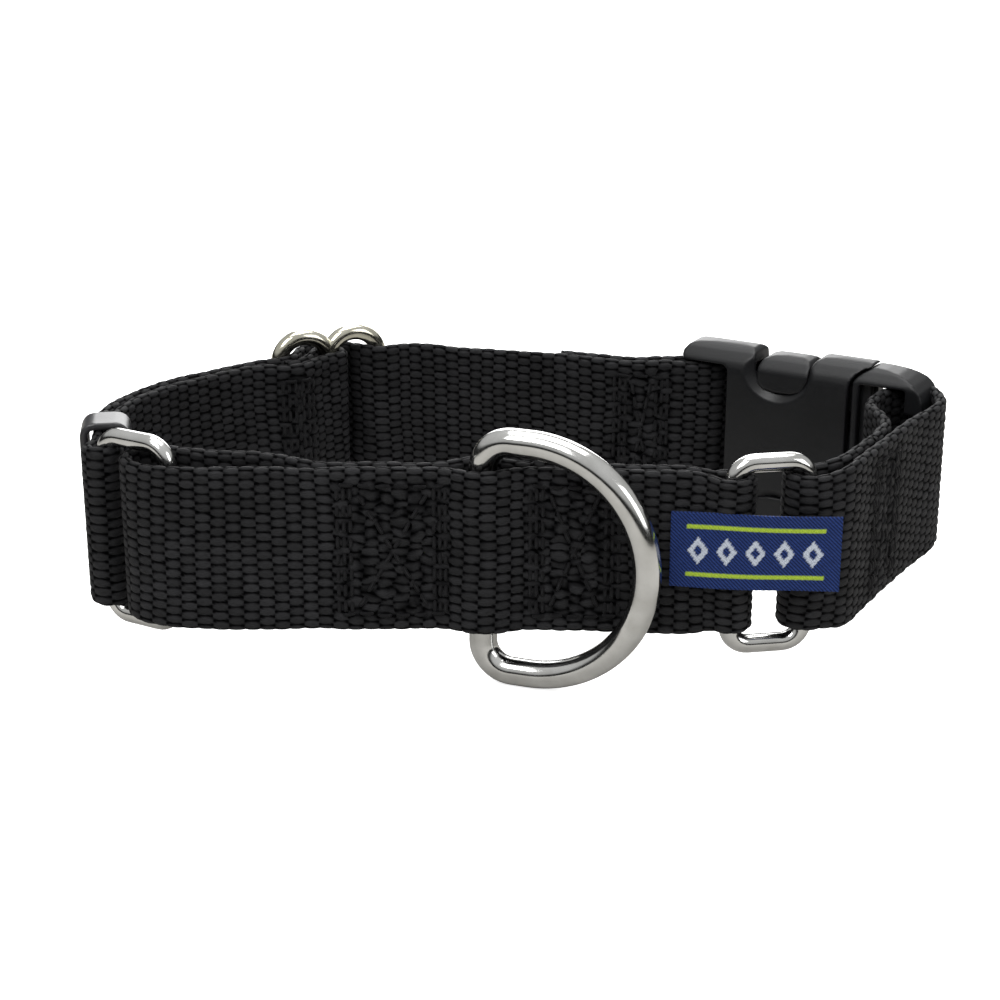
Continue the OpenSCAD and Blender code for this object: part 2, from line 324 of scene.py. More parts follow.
def webbing_material():
    """Black nylon with painted shade and painted highlight on its weave. The UV map counts picks along
    and rows across, so that the painted shade of the groove under each float and of the pit at each of
    its ends falls where the mesh dips; the colour is also painted darker where the relief is low and
    lighter on the crowns of the floats."""
    s = Shader("webbing")
    split = s.add("ShaderNodeSeparateXYZ")
    s.link(s.coords("UV"), split.inputs[0])
    u, v = split.outputs[0], split.outputs[1]
    pick = s.math("FLOOR", u)
    odd = s.math("FRACT", s.math("MULTIPLY", pick, 0.5))
    row = s.math("ADD", v, odd)
    across = s.math("ABSOLUTE", s.math("SUBTRACT", s.math("FRACT", row), 0.5))
    along = s.math("ABSOLUTE", s.math("SUBTRACT", s.math("FRACT", u), 0.5))
    # groove and pit mask painted shade: the dips between the floats and at their ends are darkened in the
    # colour.
    groove = s.step(across, 0.37, 0.49)
    pit = s.math("MULTIPLY", s.step(across, 0.26, 0.42), s.step(along, 0.26, 0.42))
    shade = s.math("ADD", s.math("MULTIPLY", groove, 0.5), s.math("MULTIPLY", pit, 0.7))
    shade = s.math("SUBTRACT", 1.0, shade)
    relief = s.add("ShaderNodeAttribute", attribute_name="relief").outputs["Fac"]
    # light is painted shade and painted highlight: colour darker in grooves, pits and low relief, lighter
    # on the crowns of the floats.
    light = s.math("MULTIPLY", s.math("MAXIMUM", shade, 0.0), s.step(relief, 0.05, 0.85))
    base = s.ramp(light, (0.0, (0.0004, 0.0004, 0.0005)), (0.5, (0.0052, 0.0052, 0.0058)),
                  (1.0, (0.0150, 0.0150, 0.0163)))
    cell = s.add("ShaderNodeCombineXYZ")
    s.link(pick, cell.inputs[0])
    s.link(s.math("FLOOR", row), cell.inputs[1])
    each = s.add("ShaderNodeTexWhiteNoise", noise_dimensions="2D")
    s.link(cell.outputs[0], each.inputs["Vector"])
    base = s.mix(1.0, base, s.ramp(each.outputs["Value"], (0.0, 0.78), (1.0, 1.24)), "MULTIPLY")
    base = s.mix(1.0, base, s.ramp(s.noise(90, 4), (0.3, 0.8), (0.7, 1.2)), "MULTIPLY")
    filament = s.noise(1.0, 2, s.scaled(s.coords("UV"), (2.6, 13, 1)))
    fuzz = s.noise(1.0, 3, s.scaled(s.coords("UV"), (12, 9, 1)))
    base = s.mix(1.0, base, s.ramp(filament, (0.3, 0.72), (0.7, 1.3)), "MULTIPLY")
    s.link(base, s.main.inputs["Base Color"])
    normal = s.bump(filament, 0.9, 0.00016)
    s.link(s.bump(fuzz, 0.25, 0.00008, normal), s.main.inputs["Normal"])
    s.link(s.ramp(light, (0.0, 0.95), (1.0, 0.6)), s.main.inputs["Roughness"])
    s.link(s.math("MULTIPLY", light, 0.16), s.main.inputs["Specular IOR Level"])
    s.set(Sheen_Weight=0.015, Sheen_Roughness=0.5)
    return s.material


def thread_material():
    """Black bonded thread with the twist of its plies."""
    s = Shader("thread")
    twist = s.add("ShaderNodeTexWave", Scale=1.0, Distortion=0.6)
    s.link(s.scaled(s.coords("UV"), (9, 3, 1)), twist.inputs["Vector"])
    colour = s.ramp(twist.outputs["Fac"], (0.1, (0.0025, 0.0025, 0.003)), (0.8, (0.015, 0.015, 0.0165)))
    s.link(colour, s.main.inputs["Base Color"])
    s.link(s.bump(twist.outputs["Fac"], 0.6, 0.00012), s.main.inputs["Normal"])
    rough = s.ramp(s.noise(700, 2), (0.3, 0.42), (0.7, 0.62))
    s.link(rough, s.main.inputs["Roughness"])
    s.set(Specular_IOR_Level=0.2)
    return s.material


def plated_material(name, bright, dull, wear):
    """Plated wire: bright metal with faint draw lines, cloudy patches and small dings."""
    s = Shader(name)
    cloud = s.noise(220, 5)
    s.link(s.ramp(cloud, (0.3, dull), (0.62, bright)), s.main.inputs["Base Color"])
    rough = s.ramp(s.noise(340, 6, roughness=0.7), (0.3, 0.07), (0.75, 0.07 + wear))
    s.link(rough, s.main.inputs["Roughness"])
    dings = s.noise(900, 3)
    waves = s.noise(130, 2)
    normal = s.bump(waves, 0.10, 0.0006)
    s.link(s.bump(dings, 0.05, 0.0001, normal), s.main.inputs["Normal"])
    s.set(Metallic=1.0)
    return s.material


def plastic_material(name, low, high, rough_low, rough_high, gloss):
    """Moulded plastic with a fine spark-eroded grain and slight flow marks."""
    s = Shader(name)
    flow = s.noise(60, 4)
    speck = s.noise(2600, 2)
    base = s.ramp(flow, (0.3, low), (0.7, high))
    scuffs = s.ramp(s.noise(420, 8, roughness=0.8), (0.62, 0.0), (0.78, 0.35))
    worn = tuple(min(1.0, 2.6 * c) for c in high)
    s.link(s.mix(scuffs, base, worn), s.main.inputs["Base Color"])
    s.link(s.ramp(flow, (0.3, rough_low), (0.7, rough_high)), s.main.inputs["Roughness"])
    normal = s.bump(speck, 0.35, 0.00005)
    s.link(s.bump(flow, 0.12, 0.0004, normal), s.main.inputs["Normal"])
    s.set(Specular_IOR_Level=gloss)
    return s.material


def label_material():
    """Blue woven label: twill ground, pale and lime motif, each thread a little different."""
    s = Shader("label")
    uv = s.coords("UV")
    twill = s.add("ShaderNodeTexWave", Scale=1.0, Distortion=0.0, bands_direction="DIAGONAL")
    s.link(s.scaled(uv, (11, 11, 1)), twill.inputs["Vector"])
    ground = s.ramp(twill.outputs["Fac"], (0.15, (0.003, 0.010, 0.052)), (0.8, (0.014, 0.036, 0.155)))
    threads = s.ramp(s.noise(1.0, 2, s.scaled(uv, (8, 90, 1))), (0.3, 0.75), (0.7, 1.2))
    ground = s.mix(1.0, ground, threads, "MULTIPLY")
    pale = s.add("ShaderNodeAttribute", attribute_name="pale").outputs["Fac"]
    lime = s.add("ShaderNodeAttribute", attribute_name="lime").outputs["Fac"]
    satin = s.add("ShaderNodeTexWave", Scale=1.0, bands_direction="X")
    s.link(s.scaled(uv, (26, 26, 1)), satin.inputs["Vector"])
    white = s.ramp(satin.outputs["Fac"], (0.1, (0.22, 0.25, 0.32)), (0.7, (0.58, 0.62, 0.68)))
    green = s.ramp(satin.outputs["Fac"], (0.1, (0.18, 0.28, 0.02)), (0.7, (0.42, 0.56, 0.05)))
    colour = s.mix(lime, s.mix(pale, ground, white), green)
    s.link(colour, s.main.inputs["Base Color"])
    s.link(s.bump(twill.outputs["Fac"], 0.6, 0.00012), s.main.inputs["Normal"])
    s.set(Roughness=0.65, Sheen_Weight=0.03, Specular_IOR_Level=0.15)
    return s.material


def floor_material():
    """A pale floor, nearly white to the camera and darker in what the metal reflects."""
    s = Shader("floor")
    path = s.add("ShaderNodeLightPath")
    pale = s.ramp(s.noise(3, 2), (0.3, (0.88, 0.88, 0.88)), (0.7, (0.90, 0.90, 0.90)))
    s.link(s.mix(path.outputs["Is Glossy Ray"], pale, (0.42, 0.41, 0.39)), s.main.inputs["Base Color"])
    s.link(s.math("MULTIPLY", path.outputs["Is Camera Ray"], 0.8), s.main.inputs["Emission Strength"])
    s.set(Roughness=0.95, Specular_IOR_Level=0.0, Emission_Color=(1, 1, 1, 1))
    return s.material


WEBBING = webbing_material()
THREAD_BLACK = thread_material()
NICKEL = plated_material("nickel", (0.80, 0.80, 0.79), (0.62, 0.62, 0.60), 0.12)
WARM_NICKEL = plated_material("slide_nickel", (0.78, 0.76, 0.66), (0.58, 0.56, 0.45), 0.16)
BUCKLE_PLASTIC = plastic_material("buckle_plastic", (0.0070, 0.0074, 0.0084),
                                  (0.0105, 0.0109, 0.0124), 0.36, 0.46, 0.38)
# The keeper is of the buckle's black plastic; its lighter base colour is painted highlight, the light its
# top face takes from above.
KEEPER_PLASTIC_PAINTED_LIGHT = plastic_material("keeper_plastic", (0.020, 0.020, 0.022),
                                  (0.030, 0.030, 0.033), 0.24, 0.34, 0.5)
LABEL = label_material()


# ---- Webbing ----

def weave(u, v):
    """Height from 0 to 1 of the warp floats. u counts picks along, v counts rows across. Each float
    is longer than its pick and pointed at both ends, and dips a little in the middle."""
    height = np.zeros(np.broadcast(u, v).shape)
    for k in (-1, 0, 1):
        pick = np.floor(u) + k
        q = u - pick - 0.5
        w = v + 0.5 * (pick % 2)
        row = np.floor(w)
        p = w - row - 0.5
        shift = lattice(pick, row, 1) - 0.5
        q = q + 0.10 * shift
        p = p + 0.08 * (lattice(pick, row, 2) - 0.5)
        ends = np.clip(1 - np.abs(q / 0.78) ** 2.6, 0, 1)
        saddle = 0.10 * np.clip(1 - (q / 0.36) ** 2, 0, 1)
        width = np.clip(1.04 - 0.85 * (q / 0.7) ** 2, 0.15, 1.04)
        crown = np.sqrt(np.clip(1 - np.abs(2 * p / width) ** 2.3, 0, 1))
        size = 0.9 + 0.2 * (lattice(pick, row, 3) - 0.5)
        height = np.maximum(height, ends * (saddle + (1 - saddle) * crown) * size)
    return height


def section():
    """Round one cross-section of webbing: (across, up, row coordinate) for each point.
    across runs from 1 on the left face to -1 on the right face."""
    flat = FACE_ROWS / 2 * ROW
    edge = WEB_HALF - flat
    steps = FACE_ROWS * ROW_STEPS
    turn = EDGE_ROWS * ROW_STEPS
    across, up = [], []
    for side in (1, -1):
        for i in range(steps):
            across.append(side)
            up.append(side * (-flat + 2 * flat * i / steps))
        for i in range(turn):
            a = math.pi * i / turn
            across.append(side * math.cos(a))
            up.append(side * (flat + edge * math.sin(a)))
    return np.array(across), np.array(up), np.arange(len(up)) / ROW_STEPS - FACE_ROWS / 2


def webbing(name, line, cut=None, sewn=(), pinched=()):
    """Webbing on edge along a plan line of even points. cut is the range of points to build.
    sewn lists (first, last) point ranges where stitching disturbs the weave. pinched lists
    (plan point, depth) where a bar draws the edges in."""
    across, up, row = section()
    n, m = len(line), len(across)
    side = left_of(line)
    along = np.arange(n)[:, None] * STEP
    tall = up[None]
    u = along / PICK + 0.13 * noise(along / 9, tall / 6, 4)
    u = u + 0.02 * tall * noise(along / 23, 0 * tall, 5)
    v = row[None] + 0.10 * noise(along / 5, tall / 5, 6)
    rough = np.zeros((n, 1))
    for first, last in sewn:
        i = np.arange(n)[:, None]
        rough = np.maximum(rough, ease((i - first + 4) / 6) * ease((last + 4 - i) / 6))
    rough = rough * ease((WEB_HALF - 1.2 - np.abs(tall)) / 1.5)
    u = u + rough * 0.30 * noise(along / 1.5, tall / 1.3, 7)
    v = v + rough * 0.30 * noise(along / 1.4, tall / 1.5, 8)
    height = weave(u, v)
    height = height * (1 - 0.45 * rough * (0.5 + 0.5 * noise(along / 1.0, tall / 1.0, 9)))
    half = WEB_T / 2 - RELIEF + RELIEF * height
    half = half + 0.10 * rough * noise(along / 2.6, tall / 2.2, 11)
    swell = 0.18 * noise(along / 6, 0 * tall, 10) * (np.abs(tall) / WEB_HALF) ** 6
    for point, depth in pinched:
        near = np.linalg.norm(line - np.array(point), axis=1)[:, None]
        swell = swell - depth * np.exp(-(near / 3.6) ** 2) * (np.abs(tall) / WEB_HALF) ** 3
    edge = np.sqrt(np.clip(1 - across[None] ** 2, 0, 1))
    z = tall + np.sign(tall) * (swell - (1 - height) * RELIEF * edge)
    points = np.empty((n, m, 3))
    points[:, :, :2] = line[:, None] + side[:, None] * (half * across[None])[:, :, None]
    points[:, :, 2] = MID_Z + z
    lo, hi = cut or (0, n - 1)
    points, height, u, v = points[lo:hi + 1], height[lo:hi + 1], u[lo:hi + 1], v[lo:hi + 1]
    rows = hi - lo + 1
    i, j = np.meshgrid(np.arange(rows - 1), np.arange(m), indexing="ij")
    k = (j + 1) % m
    lap = np.where(k == 0, m / ROW_STEPS, 0)
    corners = ((i, j, 0), (i + 1, j, 0), (i + 1, k, lap), (i, k, lap))
    faces = np.stack([a * m + b for a, b, _ in corners], -1).reshape(-1, 4).tolist()
    uv = np.stack([np.stack([u[a, b], v[a, b] + c], -1) for a, b, c in corners], 2).reshape(-1, 2)
    caps = end_cap(0, m, flip=False) if lo == 0 else []
    caps += end_cap((rows - 1) * m, m, flip=True) if hi == n - 1 else []
    uv = np.vstack([uv, np.zeros((sum(len(f) for f in caps), 2))])
    return make(name, points.reshape(-1, 3), faces + caps, WEBBING, {"relief": height.ravel()}, uv)


def end_cap(first, m, flip):
    """Faces that close an end of a strip, from one face of the webbing to the other."""
    half = m // 2
    steps = FACE_ROWS * ROW_STEPS
    faces = []
    for i in range(steps):
        across = half + steps - i
        faces.append([first + i, first + i + 1, first + across - 1, first + across % m])
    faces.append([first + i for i in range(steps, half + 1)])
    faces.append([first + i % m for i in range(half + steps, m + 1)])
    return [f[::-1] for f in faces] if flip else faces


# ---- Stitching ----

def stitches(name, line, side, spans, body, nodes=()):
    """Stitches laid on one face of a strap. spans lists ((i0, z0), (i1, z1)) seams, where i is a
    point of the line and z is a height from the middle of the strap."""
    normals, sides, rings = left_of(line), 7, 9
    length, gap = 2.1, 0.55
    verts, faces, uv = [], [], []
    rng = np.random.default_rng(len(name) + int(side > 0))
    for (i0, z0), (i1, z1) in spans:
        seam = math.hypot((i1 - i0) * STEP, z1 - z0)
        count = max(1, int(round(seam / (length + gap))))
        for c in range(count):
            f0 = c / count + gap / seam / 2
            f1 = (c + 1) / count - gap / seam / 2
            wobble = rng.uniform(-0.22, 0.22, 2)
            sink = rng.uniform(0.0, 0.14)
            centre, out = [], []
            for f in np.linspace(f0, f1, rings):
                i = i0 + (i1 - i0) * f
                a = int(np.clip(i, 0, len(line) - 2))
                w = i - a
                q = (f - f0) / (f1 - f0)
                base = line[a] * (1 - w) + line[a + 1] * w
                normal = normals[a] * (1 - w) + normals[a + 1] * w
                lift = WEB_T / 2 - 0.42 - sink + 0.42 * math.sin(math.pi * q) ** 0.6
                shift = wobble[0] * (1 - q) + wobble[1] * q
                z = z0 + (z1 - z0) * f + shift * (i1 != i0)
                xy = base + side * normal * lift
                centre.append([xy[0], xy[1], MID_Z + z])
                out.append([side * normal[0], side * normal[1], 0])
            tube(verts, faces, uv, np.array(centre), np.array(out), THREAD / 2, sides)
    obj = make(name, verts, faces, THREAD_BLACK, uv=uv)
    return finish_piece(obj, "thread", body, *nodes)


def tube(verts, faces, uv, centre, out, radius, sides, flat=0.85):
    """Adds a closed tube along centre to the lists. out is the way up of each ring."""
    t = np.gradient(centre, axis=0)
    t /= np.linalg.norm(t, axis=1)[:, None]
    up = out - (out * t).sum(1)[:, None] * t
    up /= np.linalg.norm(up, axis=1)[:, None]
    across = np.cross(t, up)
    first = len(verts)
    n = len(centre)
    for i in range(n):
        taper = math.sqrt(max(0.12, 1 - abs(2 * i / (n - 1) - 1) ** 6))
        for k in range(sides):
            a = 2 * math.pi * k / sides
            rim = math.cos(a) * across[i] + flat * math.sin(a) * up[i]
            verts.append(centre[i] + radius * taper * rim)
            uv.append([i / (n - 1), k / sides])
    for i in range(n - 1):
        for k in range(sides):
            a, b = first + i * sides, first + (i + 1) * sides
            faces.append([a + k, a + (k + 1) % sides, b + (k + 1) % sides, b + k])
    faces.append([first + k for k in range(sides)][::-1])
    faces.append([first + (n - 1) * sides + k for k in range(sides)])


def box_cross(i0, i1, half_h, passes=3):
    """Seams of a sewn box with a cross in it, its upright sides sewn several times."""
    inset = 0.95 / STEP
    spans = []
    for k in range(passes):
        a, b = i0 + k * inset, i1 - k * inset
        spans += [((a, -half_h), (a, half_h)), ((b, half_h), (b, -half_h))]
    for z in (-half_h, half_h):
        spans.append(((i0, z), (i1, z)))
    reach = passes * inset
    spans.append(((i0 + reach, -half_h + 1), (i1 - reach, half_h - 1)))
    spans.append(((i0 + reach, half_h - 1), (i1 - reach, -half_h + 1)))
    return spans


def sewn_box(name, line, at, side, length, body, nodes=(), half_h=10):
    """A sewn box centred on the point of the line nearest to at."""
    i = nearest(line, at)
    half = length / 2 / STEP
    return stitches(name, line, side, box_cross(i - half, i + half, half_h), body, nodes)


def zone(line, at, length):
    i, half = nearest(line, at), int(length / 2 / STEP)
    return i - half, i + half


# Neck strap: one length of webbing from the slide's middle bar, round the left ring's outer bar,
# back through the slide, along the back and round the socket's bar.
left_run = [[-54, 16], [-58, 11.8], [-61.4, 6.8], [-64, 1.4], [-65.1, -5], [-64.3, -11], [-63.5, -17]]
return_out = local(SLIDE_AT, SLIDE_TURN, [[-9.6, -4.85], [-7.4, -4.65], [-5.4, -3.2], [-3.3, -0.6]])
return_in = np.vstack([
    local(SLIDE_AT, SLIDE_TURN, [[-3.2, -4.2], [-6.6, -6.8], [-9.8, -7.1], [-12.4, -6.1]]),
    local(STRAP_BEND, BEND_TURN, [[2, -1.3], [BEND_GAP, -1.2]])])
slide_arc = local(SLIDE_AT, SLIDE_TURN, arc(np.zeros(2), 2.5, 130, -80))
left_mid = curve(local(STRAP_BEND, BEND_TURN, [[-BEND_GAP, 0]]), left_run, LEFT_BAR_OUT)
slide_weave = local(SLIDE_AT, SLIDE_TURN, [
    [-14, -2.6], [-10, -2.6], [-7.7, -1.8], [-5.4, 1.2], [-3.2, 4], [0, 5.1],
    [3.2, 4], [5.4, 1.2], [7.7, -1.8], [10, -2.6], [14, -2.6]])
back_run = [[-12, 34.5], [-4, 32.6], [4, 30.2], [10, 27.9], [15.2, 26.2], [25.5, 24.9], [30, 24.6]]
fold_back = [[28.5, 28.4], [25.5, 27.4], [15.2, 28.5], [7, 31.3]]
neck_line = even(np.vstack([
    curve(return_out), slide_arc, curve(return_in), doubled(left_mid, LEFT_BAR_OUT, FOLD_R),
    curve(local(STRAP_BEND, BEND_TURN, [[BEND_GAP, PLY_OFF], [1.5, PLY_OFF]]), slide_weave, back_run),
    arc(SOCKET_BAR, BAR_FOLD_R, -110, 110, 20), curve(fold_back)]))
slide_box_at = local(SLIDE_AT, SLIDE_TURN, [[-8.2, -8.3]])[0]
neck_cut = nearest(neck_line, slide_weave[1])
neck_sewn = [zone(neck_line, slide_box_at, 6), zone(neck_line, [20.4, 24.2], 10),
             zone(neck_line, [20.4, 29.2], 10)]
neck_left = webbing("neck_webbing_left", neck_line, cut=(0, neck_cut), sewn=neck_sewn)
neck_back = webbing("neck_webbing_back", neck_line, cut=(neck_cut, len(neck_line) - 1), sewn=neck_sewn)
finish_piece(neck_left, "webbing", None, "left_strap", "return_end")
finish_piece(neck_back, "webbing", "neck", "back_strap")
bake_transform(neck_left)
sewn_box("stitching_slide_end", neck_line, slide_box_at, 1, 5, "neck", ["stitch_slide_end"])
sewn_box("stitching_buckle_end_in", neck_line, [20.4, 24.2], -1, 9, "neck", ["stitch_buckle_end"])
sewn_box("stitching_buckle_end_out", neck_line, [20.4, 29.2], -1, 9, "neck")

# Control loop: one length of webbing whose ends meet under the stitching right of the leash ring.
# Its plies bulge round the leash ring's bar.
BULGE_BACK = [[2.3, 3.0], [0, 3.55], [-2.3, 3.0], [-4.2, 1.9]]
BULGE_FRONT = [[-4.2, -2.0], [-2.3, -3.1], [0, -3.65], [2.3, -3.1]]
right_mid = curve([[4, -31.1], [9, -31.5], [13.9, -31.9], [22, -32.5]], RIGHT_BAR_IN)
loop_back = [
    [1.2, -29.75], [-1.9, -28.75], *(LEASH_BAR + BULGE_BACK), [-13, -29.35], [-24, -29.7],
    [-29, -29.6], [-32.2, -28.7], [-35.8, -26.4], [-40.5, -24.6], [-47, -23.6], [-51.5, -22.4],
    [-54.8, -21.4], [-57.8, -22.3], [-59, -25.2], [-57.6, -28.6], [-53.4, -31], [-48, -31.9],
    [-40, -31.95], [-29.2, -31.9], [-18, -31.85], [-13, -31.75], *(LEASH_BAR + BULGE_FRONT),
    [-1.7, -32.4], [0.6, -32.05]]
right_pocket = doubled(right_mid, RIGHT_BAR_IN, FOLD_R + 0.4)[::-1]
loop_line = even(np.vstack([curve(loop_back), right_pocket]))
loop_sewn = [zone(loop_line, [-19.5, -34], 17), zone(loop_line, [-19.5, -27.5], 17),
             zone(loop_line, [7, -34.5], 14), zone(loop_line, [7, -28], 12)]
loop = webbing("control_loop_webbing", loop_line, sewn=loop_sewn, pinched=[(RIGHT_BAR_IN, 1.5)])
finish_piece(loop, "webbing", None, "control_loop_left", "control_loop_right")
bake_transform(loop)
sewn_box("stitching_left_front", loop_line, [-19.5, -34], -1, 16, "control_left_body",
         ["stitch_control_left"])
sewn_box("stitching_left_back", loop_line, [-19.5, -27.5], -1, 16, "control_left_body")
sewn_box("stitching_right_front", loop_line, [7, -34.5], -1, 13, "control_right_body",
         ["stitch_control_right"])
sewn_box("stitching_right_back", loop_line, [8.4, -28], -1, 10, "control_right_body")

# Right strap: a short closed loop between the right ring and the plug.
right_start = [[52.2, -17.5], [48.4, -24], [46.2, -27], [43.6, -28.1]]
right_outer = [[44, -33], [46.9, -31], [50.3, -25.1], [55.5, -16.1], [60.9, -7.1], [65.5, -0.4],
               [67.4, 4.4]]
right_inner = [*local(MOUTH, BUCKLE_TURN, [[6.9, -1.9], [6.0, -4.2], [5.9, -7.6], [6.7, -11.7]]),
               [55.9, -4.6], [56, -9.2], [53.6, -15], [52.3, -17.25]]
right_line = even(np.vstack([
    curve(right_start), arc(RIGHT_BAR_OUT, FOLD_R + 0.7, 100, 285), curve(right_outer),
    arc(PLUG_BAR, BAR_FOLD_R, -5, 150), curve(right_inner)]))
right_sewn = [zone(right_line, [55.6, -19.5], 12), zone(right_line, [50.4, -16.5], 12)]
right_strap = webbing("right_strap_webbing", right_line, sewn=right_sewn,
                      pinched=[(RIGHT_BAR_OUT, 1.5)])
finish_piece(right_strap, "webbing", "right_strap_body", "right_strap")
sewn_box("stitching_right_strap_out", right_line, [55.6, -19.5], -1, 11, "right_strap_body",
         ["stitch_right_strap"])


# ---- Plated wire ----

def wire(name, path, radius, material, sides=20):
    """Round wire along a closed path of points."""
    p = np.asarray(path, float)
    t = np.roll(p, -1, 0) - np.roll(p, 1, 0)
    t /= np.linalg.norm(t, axis=1)[:, None]
    plane = np.linalg.svd(p - p.mean(0))[2][2]
    across = np.cross(t, plane)
    n = len(p)
    a = 2 * np.pi * np.arange(sides) / sides
    ring = radius * (np.cos(a)[None, :, None] * across[:, None] + np.sin(a)[None, :, None] * plane)
    verts = (p[:, None] + ring).reshape(-1, 3)
    faces = []
    for i in range(n):
        here, after = i * sides, (i + 1) % n * sides
        for k in range(sides):
            q = (k + 1) % sides
            faces.append([here + k, here + q, after + q, after + k])
    return make(name, verts, faces, material)


def on_edge(at, turn, points, middle=MID_Z):
    """Points (x, z) of an upright plane to space, x along turn from at and z up from the middle."""
    d = heading(turn)
    return np.array([[at[0] + x * d[0], at[1] + x * d[1], middle + z] for x, z in points])


def corner(x, z, r, a0, n=10):
    return [(x + r * math.cos(math.radians(a)), z + r * math.sin(math.radians(a)))
            for a in np.linspace(a0, a0 + 90, n)]


def straight(a, b, n=8):
    """Points between two corners, without the ends."""
    return [(a[0] + (b[0] - a[0]) * i / n, a[1] + (b[1] - a[1]) * i / n) for i in range(1, n)]


def closed_path(pieces):
    path = []
    for i, piece in enumerate(pieces):
        path += piece + straight(piece[-1], pieces[(i + 1) % len(pieces)][0])
    return path


def strap_ring(name, at, turn, body, node, first, last, drop=0.0):
    """A rectangular loop of wire with bars at first and last along turn from at."""
    lo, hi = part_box(node)
    top = (hi[2] - lo[2]) / MM / 2 - RING_WIRE / 2
    r = 3.2
    path = closed_path([corner(last - r, top - r, r, 0), corner(first + r, top - r, r, 90),
                        corner(first + r, r - top, r, 180), corner(last - r, r - top, r, 270)])
    obj = wire(name, on_edge(at, turn, path, MID_Z - drop), RING_WIRE / 2, NICKEL)
    return finish_piece(obj, "nickel", body, node)


strap_ring("ring_left", LEFT_BAR_OUT, LEFT_RING_TURN, "left_ring_body", "left_ring", 0.5, 12.3)
strap_ring("ring_right", RIGHT_BAR_IN, RIGHT_RING_TURN, "right_ring_body", "right_ring", 0.1, 11.5,
           drop=RING_DROP)

leash_lo, leash_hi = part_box("leash_ring")
bow_r = (leash_hi[2] - leash_lo[2]) / MM / 2 - LEASH_WIRE / 2
leash_mid = (leash_hi[2] + leash_lo[2]) / MM / 2
bow_x, ring_corner = 7.2, 4.5
bow = [(bow_x + bow_r * math.cos(math.radians(a)), bow_r * math.sin(math.radians(a)))
       for a in np.linspace(-90, 90, 72)]
leash_path = closed_path([bow, corner(ring_corner, bow_r - ring_corner, ring_corner, 90, 14),
                          corner(ring_corner, ring_corner - bow_r, ring_corner, 180, 14)])
leash = wire("ring_leash", on_edge(LEASH_BAR, LEASH_TURN, leash_path, leash_mid), LEASH_WIRE / 2,
             NICKEL, sides=28)
finish_piece(leash, "nickel", "leash_ring_body", "leash_ring")


def slide():
    """Three upright bars joined by bows above and below."""
    lo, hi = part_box("adjuster_slide")
    crown = (hi[2] - lo[2]) / MM / 2 - SLIDE_WIRE / 2
    pitch, r = 9.1, 4.3
    parts = []
    for x in (-pitch / 2, pitch / 2):
        top = crown - r
        path = closed_path([[(x + pitch / 2 * math.cos(a), z + r * math.sin(a))
                             for a in np.linspace(first, first + math.pi, 24)]
                            for z, first in ((top, 0), (-top, math.pi))])
        placed = on_edge(SLIDE_AT, SLIDE_TURN, path, MID_Z + SLIDE_RISE)
        parts.append(wire("slide_loop", placed, SLIDE_WIRE / 2, WARM_NICKEL))
    obj = join("slide", parts)
    return finish_piece(obj, "slide_nickel", "neck", "adjuster_slide")


def join(name, objects):
    """The objects as one, with their loose parts kept."""
    bm = bmesh.new()
    for o in objects:
        bm.from_mesh(o.data)
    mesh = bpy.data.meshes.new(name)
    bm.to_mesh(mesh)
    bm.free()
    mesh.materials.append(objects[0].data.materials[0])
    for o in objects:
        bpy.data.objects.remove(o)
    obj = bpy.data.objects.new(name, mesh)
    bpy.context.scene.collection.objects.link(obj)
    return obj


slide()


# ---- Moulded parts ----

def prism(outline, y0, y1):
    """A solid with an (x, z) outline between two planes across y."""
    return between([(x, y0, z) for x, z in outline], [(x, y1, z) for x, z in outline])


def between(first, last):
    """A solid between two outlines that have the same number of points."""
    n = len(first)
    faces = [[i, (i + 1) % n, n + (i + 1) % n, n + i] for i in range(n)]
    faces += [list(range(n))[::-1], [n + i for i in range(n)]]
    obj = make("raw", first + last, faces, None)
    bm = bmesh.new()
    bm.from_mesh(obj.data)
    bmesh.ops.recalc_face_normals(bm, faces=bm.faces)
    bm.to_mesh(obj.data)
    bm.free()
    return obj


def bar_section(w, h, r, n=8):
    """Points of a rounded rectangle, w across y and h up z."""
    path = []
    for y, z, a in ((w / 2 - r, h / 2 - r, 0), (r - w / 2, h / 2 - r, 90),
                    (r - w / 2, r - h / 2, 180), (w / 2 - r, r - h / 2, 270)):
        path += corner(y, z, r, a, n)
    return path


def beam(x0, x1, w, h, r, y=0, z=0):
    """A bar of rounded section along x."""
    path = bar_section(w, h, r)
    return between(*([(x, y + a, z + b) for a, b in path] for x in (x0, x1)))


def post(x, r, half_h, n=32):
    """An upright round bar."""
    turns = [2 * math.pi * i / n for i in range(n)]
    path = [(x + r * math.cos(a), r * math.sin(a)) for a in turns]
    return between(*([(a, b, z) for a, b in path] for z in (-half_h, half_h)))


def applied(obj):
    """The object with its modifiers applied."""
    bpy.context.view_layer.update()
    graph = bpy.context.evaluated_depsgraph_get()
    mesh = bpy.data.meshes.new_from_object(obj.evaluated_get(graph), depsgraph=graph)
    obj.modifiers.clear()
    obj.data = mesh
    return obj


def cut(obj, operation, *tools):
    for tool in tools:
        m = obj.modifiers.new("cut", "BOOLEAN")
        m.operation = operation
        m.solver = "EXACT"
        m.object = tool
        applied(obj)
        bpy.data.objects.remove(tool)
    return obj


